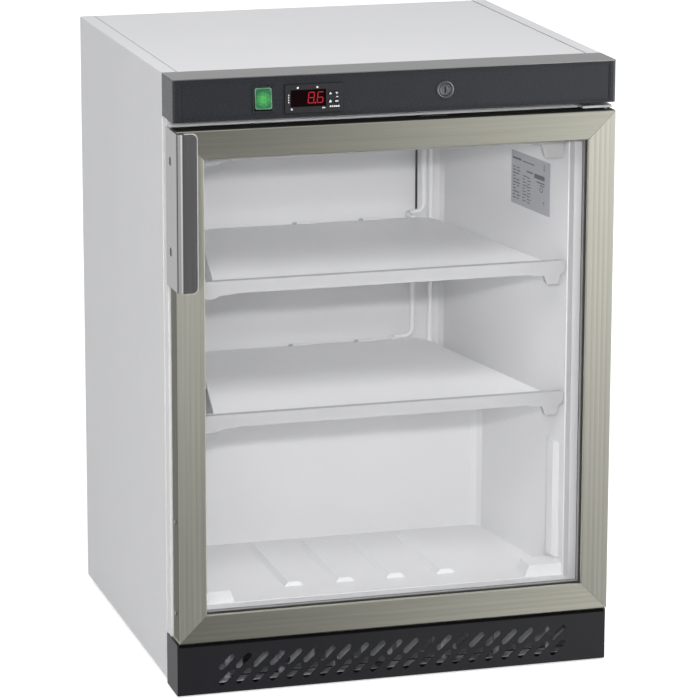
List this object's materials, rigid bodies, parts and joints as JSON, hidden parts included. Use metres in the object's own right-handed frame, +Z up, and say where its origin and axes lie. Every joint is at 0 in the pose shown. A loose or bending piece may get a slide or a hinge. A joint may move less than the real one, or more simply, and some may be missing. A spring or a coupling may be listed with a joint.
{
  "type": "undercounter refrigerator",
  "caption": "Undercounter refrigerator with a framed glass door, controls and lock in a dark fascia, fixed evaporator shelves, slotted plinth and a compressor at the rear.",
  "frame": {"origin": "centre of the footprint, on the floor", "axes": "+Z up, front and door towards -Y, +X to the right seen from the front"},
  "size_m": [0.6, 0.575, 0.83],
  "materials": {
    "white_steel": "white powder coat",
    "white_plastic": "smooth white",
    "evaporator_white": "white coated aluminium",
    "foam": "rigid foam",
    "galvanised": "galvanised sheet",
    "black_steel": "satin black",
    "charcoal_plastic": "fine grain charcoal",
    "black_plastic": "satin black",
    "door_profile": "brushed, warm champagne tone",
    "strip_metal": "brushed",
    "stainless": "brushed",
    "copper": "plain copper",
    "glass": "clear",
    "green_lens": "lit translucent green",
    "red_window": "smoked window",
    "grey_seal": "soft grey vinyl",
    "label_film": "printed silver film"
  },
  "bodies": {
    "cabinet": {"side_panel_left": "white_steel", "side_panel_right": "white_steel", "top_panel": "white_steel", "back_panel": "galvanised", "machine_compartment_lining": "galvanised", "insulation": "foam", "liner": "white_plastic", "front_frame": "white_plastic", "base_pan": "galvanised", "plinth_grille": "black_steel", "evaporator_top": "evaporator_white", "evaporator_upper": "evaporator_white", "evaporator_lower": "evaporator_white", "shelf_trim_top": "white_plastic", "shelf_trim_upper": "white_plastic", "shelf_trim_lower": "white_plastic", "evaporator_pipe_upper": "evaporator_white", "evaporator_pipe_lower": "evaporator_white", "evaporator_return_pipe": "evaporator_white", "thermostat_probe": "black_plastic", "rating_label": "label_film", "fascia_housing": "charcoal_plastic", "fascia_top_strip": "strip_metal", "switch_bezel": "black_plastic", "thermostat_bezel": "black_plastic", "display_window": "red_window", "lock_housing": "stainless", "hinge_bracket_upper": "galvanised", "hinge_bracket_lower": "galvanised", "compressor": "black_steel", "compressor_terminal_box": "black_plastic", "condenser": "black_steel", "condenser_tube": "black_steel", "filter_drier": "copper", "drip_tray": "white_plastic", "mains_inlet": "black_plastic"},
    "door": {"door_stile_left": "door_profile", "door_stile_right": "door_profile", "door_rail_top": "door_profile", "door_rail_bottom": "door_profile", "glass_outer": "glass", "glass_inner": "glass", "glazing_spacer": "black_plastic", "door_gasket": "grey_seal", "handle": "stainless", "handle_screw_upper": "stainless", "handle_screw_lower": "stainless", "door_plug_upper": "stainless", "door_plug_lower": "stainless"},
    "power_switch": {"switch_rocker": "green_lens"},
    "lock": {"lock_cylinder": "stainless", "lock_cam": "galvanised"},
    "thermostat_key_upper_left": {"thermostat_key_upper_left": "charcoal_plastic"},
    "thermostat_key_upper_right": {"thermostat_key_upper_right": "charcoal_plastic"},
    "thermostat_key_lower_left": {"thermostat_key_lower_left": "charcoal_plastic"},
    "thermostat_key_lower_right": {"thermostat_key_lower_right": "charcoal_plastic"},
    "foot_front_left": {"foot_front_left": "black_plastic"},
    "foot_front_right": {"foot_front_right": "black_plastic"},
    "foot_rear_left": {"foot_rear_left": "black_plastic"},
    "foot_rear_right": {"foot_rear_right": "black_plastic"}
  },
  "joints": [
    {"name": "door_hinge", "type": "hinge", "parent": "cabinet", "child": "door", "pos_m": [0.29, -0.2515, 0.0765], "axis": [0, 0, 1], "range_deg": [0, 110]},
    {"name": "power_switch_rock", "type": "hinge", "parent": "cabinet", "child": "power_switch", "pos_m": [-0.1812, -0.26, 0.8], "axis": [1, 0, 0], "range_deg": [0, 14]},
    {"name": "lock_turn", "type": "hinge", "parent": "cabinet", "child": "lock", "pos_m": [0.0637, -0.2446, 0.801], "axis": [0, -1, 0], "range_deg": [0, 90]},
    {"name": "thermostat_key_upper_left_press", "type": "slide", "parent": "cabinet", "child": "thermostat_key_upper_left", "axis": [0, 1, 0], "range_m": [0, 0.0006], "stiffness_N_per_m": 500, "springref_m": -0.0008},
    {"name": "thermostat_key_upper_right_press", "type": "slide", "parent": "cabinet", "child": "thermostat_key_upper_right", "axis": [0, 1, 0], "range_m": [0, 0.0006], "stiffness_N_per_m": 500, "springref_m": -0.0008},
    {"name": "thermostat_key_lower_left_press", "type": "slide", "parent": "cabinet", "child": "thermostat_key_lower_left", "axis": [0, 1, 0], "range_m": [0, 0.0006], "stiffness_N_per_m": 500, "springref_m": -0.0008},
    {"name": "thermostat_key_lower_right_press", "type": "slide", "parent": "cabinet", "child": "thermostat_key_lower_right", "axis": [0, 1, 0], "range_m": [0, 0.0006], "stiffness_N_per_m": 500, "springref_m": -0.0008},
    {"name": "foot_front_left_level", "type": "hinge", "parent": "cabinet", "child": "foot_front_left", "pos_m": [-0.262, -0.1595, 0], "axis": [0, 0, 1], "continuous": true},
    {"name": "foot_front_right_level", "type": "hinge", "parent": "cabinet", "child": "foot_front_right", "pos_m": [0.262, -0.1595, 0], "axis": [0, 0, 1], "continuous": true},
    {"name": "foot_rear_left_level", "type": "hinge", "parent": "cabinet", "child": "foot_rear_left", "pos_m": [-0.262, 0.2405, 0], "axis": [0, 0, 1], "continuous": true},
    {"name": "foot_rear_right_level", "type": "hinge", "parent": "cabinet", "child": "foot_rear_right", "pos_m": [0.262, 0.2405, 0], "axis": [0, 0, 1], "continuous": true}
  ]
}
